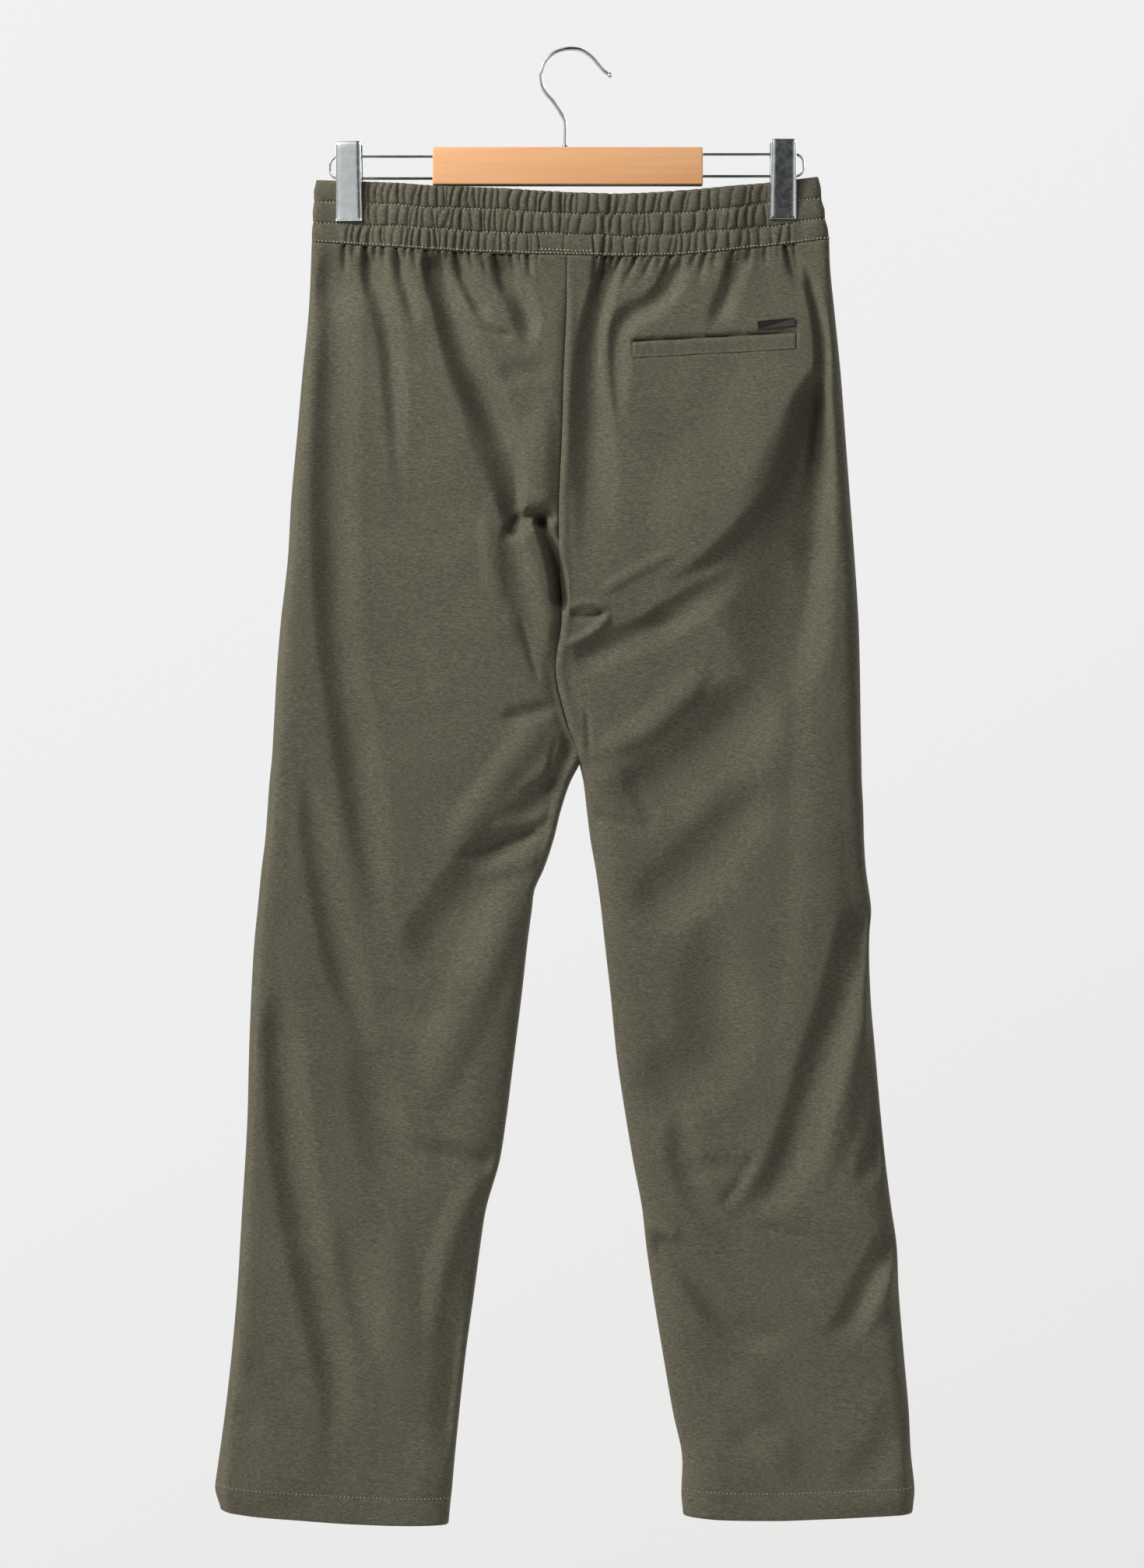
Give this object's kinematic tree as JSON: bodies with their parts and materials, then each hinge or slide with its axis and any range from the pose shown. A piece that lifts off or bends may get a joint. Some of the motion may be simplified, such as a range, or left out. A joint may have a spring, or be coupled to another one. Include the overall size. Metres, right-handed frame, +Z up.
{
  "type": "joggers on a clip hanger",
  "caption": "Long straight-leg joggers with a gathered elastic waistband and a welt back pocket, hung flat by the waist from a wooden hanger with sliding metal clips and a wire hook.",
  "frame": {"origin": "underside of the hook's bend, where a rail carries it", "axes": "+Z up, +X to the wearer's right as seen from behind, +Y towards the garment's front; the back of the joggers faces -Y"},
  "size_m": [0.5419, 0.0318, 1.1413],
  "materials": {
    "olive_jersey": "dark olive heathered twill jersey, soft and matt",
    "gathered_jersey": "the same jersey, gathered over elastic and topstitched",
    "dark_plate": "dark satin paint, bare",
    "beech": "clear satin lacquer",
    "chromed_steel": "bright chrome plate"
  },
  "bodies": {
    "root": {"back_left": "olive_jersey", "back_right": "olive_jersey", "front_left": "olive_jersey", "front_right": "olive_jersey", "waistband": "gathered_jersey", "pocket_welt": "olive_jersey", "badge_plate": "dark_plate", "hanger_bar": "beech", "hook": "chromed_steel", "hook_ferrule": "chromed_steel", "wire_loop_left": "chromed_steel", "wire_loop_right": "chromed_steel", "clip_left_outer_jaw": "chromed_steel", "clip_left_inner_jaw": "chromed_steel", "clip_left_spring": "chromed_steel", "clip_right_outer_jaw": "chromed_steel", "clip_right_inner_jaw": "chromed_steel", "clip_right_spring": "chromed_steel"}
  },
  "joints": []
}
